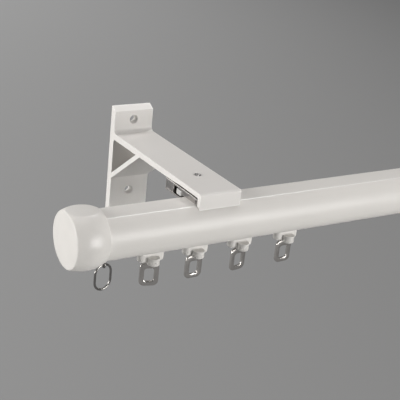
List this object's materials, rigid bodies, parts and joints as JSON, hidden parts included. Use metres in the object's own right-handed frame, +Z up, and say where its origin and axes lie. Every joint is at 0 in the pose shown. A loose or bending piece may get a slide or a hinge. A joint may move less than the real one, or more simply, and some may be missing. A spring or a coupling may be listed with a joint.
{
  "type": "curtain track",
  "caption": "Wall-fixed white curtain track: round slotted rod, bulging end caps, click-in brackets, and wheeled gliders with swivelling steel eyelets.",
  "frame": {"origin": "centre of the four wall holes, on the wall's surface", "axes": "+X along the track, +Y into the wall, +Z up; the room is on the -Y side"},
  "size_m": [0.5382, 0.1167, 0.0711],
  "materials": {
    "rod_coat": "white powder coat, satin",
    "bracket_coat": "white powder coat, satin",
    "cap_plastic": "white, satin",
    "dark_steel": "dark steel",
    "ring_steel": "bright wire",
    "clip_steel": "zinc-plated sheet",
    "screw_steel": "zinc-plated",
    "spring_steel": "spring strip",
    "slider_plastic": "white moulded",
    "glider_nylon": "white moulded nylon",
    "wheel_nylon": "white moulded nylon",
    "axle_steel": "ground steel",
    "eyelet_steel": "dark stamped steel"
  },
  "bodies": {
    "track": {"rod": "rod_coat", "end_cap_left": "cap_plastic", "eye_screw_left": "dark_steel", "bracket_left": "bracket_coat", "clip_body_left": "clip_steel", "clip_screw_left": "screw_steel", "slider_spring_left": "spring_steel", "end_cap_right": "cap_plastic", "eye_screw_right": "dark_steel", "bracket_right": "bracket_coat", "clip_body_right": "clip_steel", "clip_screw_right": "screw_steel", "slider_spring_right": "spring_steel"},
    "end_ring_left": {"end_ring_left": "ring_steel"},
    "release_slider_left": {"release_slider_left": "slider_plastic"},
    "end_ring_right": {"end_ring_right": "ring_steel"},
    "release_slider_right": {"release_slider_right": "slider_plastic"},
    "glider_1_carriage": {"glider_1_carriage": "glider_nylon"},
    "glider_1_eyelet": {"glider_1_eyelet": "eyelet_steel"},
    "glider_1_left_wheels": {"glider_1_left_axle": "axle_steel", "glider_1_left_front_wheel": "wheel_nylon", "glider_1_left_rear_wheel": "wheel_nylon"},
    "glider_1_right_wheels": {"glider_1_right_axle": "axle_steel", "glider_1_right_front_wheel": "wheel_nylon", "glider_1_right_rear_wheel": "wheel_nylon"},
    "glider_2_carriage": {"glider_2_carriage": "glider_nylon"},
    "glider_2_eyelet": {"glider_2_eyelet": "eyelet_steel"},
    "glider_2_left_wheels": {"glider_2_left_axle": "axle_steel", "glider_2_left_front_wheel": "wheel_nylon", "glider_2_left_rear_wheel": "wheel_nylon"},
    "glider_2_right_wheels": {"glider_2_right_axle": "axle_steel", "glider_2_right_front_wheel": "wheel_nylon", "glider_2_right_rear_wheel": "wheel_nylon"},
    "glider_3_carriage": {"glider_3_carriage": "glider_nylon"},
    "glider_3_eyelet": {"glider_3_eyelet": "eyelet_steel"},
    "glider_3_left_wheels": {"glider_3_left_axle": "axle_steel", "glider_3_left_front_wheel": "wheel_nylon", "glider_3_left_rear_wheel": "wheel_nylon"},
    "glider_3_right_wheels": {"glider_3_right_axle": "axle_steel", "glider_3_right_front_wheel": "wheel_nylon", "glider_3_right_rear_wheel": "wheel_nylon"},
    "glider_4_carriage": {"glider_4_carriage": "glider_nylon"},
    "glider_4_eyelet": {"glider_4_eyelet": "eyelet_steel"},
    "glider_4_left_wheels": {"glider_4_left_axle": "axle_steel", "glider_4_left_front_wheel": "wheel_nylon", "glider_4_left_rear_wheel": "wheel_nylon"},
    "glider_4_right_wheels": {"glider_4_right_axle": "axle_steel", "glider_4_right_front_wheel": "wheel_nylon", "glider_4_right_rear_wheel": "wheel_nylon"}
  },
  "joints": [
    {"name": "end_ring_left_swing", "type": "hinge", "parent": "track", "child": "end_ring_left", "pos_m": [-0.246, -0.0994, -0.0219], "axis": [0.9848, 0.1736, 0], "range_deg": [-80, 80]},
    {"name": "release_slider_left_pull", "type": "slide", "parent": "track", "child": "release_slider_left", "axis": [0, 1, 0], "range_m": [0, 0.0018], "stiffness_N_per_m": 600, "springref_m": -0.003, "deforming": ["slider_spring_left"]},
    {"name": "end_ring_right_swing", "type": "hinge", "parent": "track", "child": "end_ring_right", "pos_m": [0.246, -0.0994, -0.0219], "axis": [0.9848, -0.1736, 0], "range_deg": [-80, 80]},
    {"name": "release_slider_right_pull", "type": "slide", "parent": "track", "child": "release_slider_right", "axis": [0, 1, 0], "range_m": [0, 0.0018], "stiffness_N_per_m": 600, "springref_m": -0.003, "deforming": ["slider_spring_right"]},
    {"name": "glider_1_slide", "type": "slide", "parent": "track", "child": "glider_1_carriage", "axis": [1, 0, 0], "range_m": [-0.011, 0.005]},
    {"name": "glider_1_swivel", "type": "hinge", "parent": "glider_1_carriage", "child": "glider_1_eyelet", "pos_m": [-0.2178, -0.0994, -0.02525], "axis": [0, 0, 1], "continuous": true},
    {"name": "glider_1_left_roll", "type": "hinge", "parent": "glider_1_carriage", "child": "glider_1_left_wheels", "pos_m": [-0.223, -0.0994, -0.01105], "axis": [0, 1, 0], "continuous": true},
    {"name": "glider_1_right_roll", "type": "hinge", "parent": "glider_1_carriage", "child": "glider_1_right_wheels", "pos_m": [-0.2126, -0.0994, -0.01105], "axis": [0, 1, 0], "continuous": true},
    {"name": "glider_2_slide", "type": "slide", "parent": "track", "child": "glider_2_carriage", "axis": [1, 0, 0], "range_m": [-0.005, 0.006]},
    {"name": "glider_2_swivel", "type": "hinge", "parent": "glider_2_carriage", "child": "glider_2_eyelet", "pos_m": [-0.1895, -0.0994, -0.02525], "axis": [0, 0, 1], "continuous": true},
    {"name": "glider_2_left_roll", "type": "hinge", "parent": "glider_2_carriage", "child": "glider_2_left_wheels", "pos_m": [-0.1947, -0.0994, -0.01105], "axis": [0, 1, 0], "continuous": true},
    {"name": "glider_2_right_roll", "type": "hinge", "parent": "glider_2_carriage", "child": "glider_2_right_wheels", "pos_m": [-0.1843, -0.0994, -0.01105], "axis": [0, 1, 0], "continuous": true},
    {"name": "glider_3_slide", "type": "slide", "parent": "track", "child": "glider_3_carriage", "axis": [1, 0, 0], "range_m": [-0.006, 0.007]},
    {"name": "glider_3_swivel", "type": "hinge", "parent": "glider_3_carriage", "child": "glider_3_eyelet", "pos_m": [-0.1596, -0.0994, -0.02525], "axis": [0, 0, 1], "continuous": true},
    {"name": "glider_3_left_roll", "type": "hinge", "parent": "glider_3_carriage", "child": "glider_3_left_wheels", "pos_m": [-0.1648, -0.0994, -0.01105], "axis": [0, 1, 0], "continuous": true},
    {"name": "glider_3_right_roll", "type": "hinge", "parent": "glider_3_carriage", "child": "glider_3_right_wheels", "pos_m": [-0.1544, -0.0994, -0.01105], "axis": [0, 1, 0], "continuous": true},
    {"name": "glider_4_slide", "type": "slide", "parent": "track", "child": "glider_4_carriage", "axis": [1, 0, 0], "range_m": [-0.007, 0.356]},
    {"name": "glider_4_swivel", "type": "hinge", "parent": "glider_4_carriage", "child": "glider_4_eyelet", "pos_m": [-0.1274, -0.0994, -0.02525], "axis": [0, 0, 1], "continuous": true},
    {"name": "glider_4_left_roll", "type": "hinge", "parent": "glider_4_carriage", "child": "glider_4_left_wheels", "pos_m": [-0.1326, -0.0994, -0.01105], "axis": [0, 1, 0], "continuous": true},
    {"name": "glider_4_right_roll", "type": "hinge", "parent": "glider_4_carriage", "child": "glider_4_right_wheels", "pos_m": [-0.1222, -0.0994, -0.01105], "axis": [0, 1, 0], "continuous": true}
  ],
  "couplings": [
    {"joint": "glider_1_left_roll", "follows": "glider_1_slide", "rad_per_m": 270.27},
    {"joint": "glider_1_right_roll", "follows": "glider_1_slide", "rad_per_m": 270.27},
    {"joint": "glider_2_left_roll", "follows": "glider_2_slide", "rad_per_m": 270.27},
    {"joint": "glider_2_right_roll", "follows": "glider_2_slide", "rad_per_m": 270.27},
    {"joint": "glider_3_left_roll", "follows": "glider_3_slide", "rad_per_m": 270.27},
    {"joint": "glider_3_right_roll", "follows": "glider_3_slide", "rad_per_m": 270.27},
    {"joint": "glider_4_left_roll", "follows": "glider_4_slide", "rad_per_m": 270.27},
    {"joint": "glider_4_right_roll", "follows": "glider_4_slide", "rad_per_m": 270.27}
  ]
}
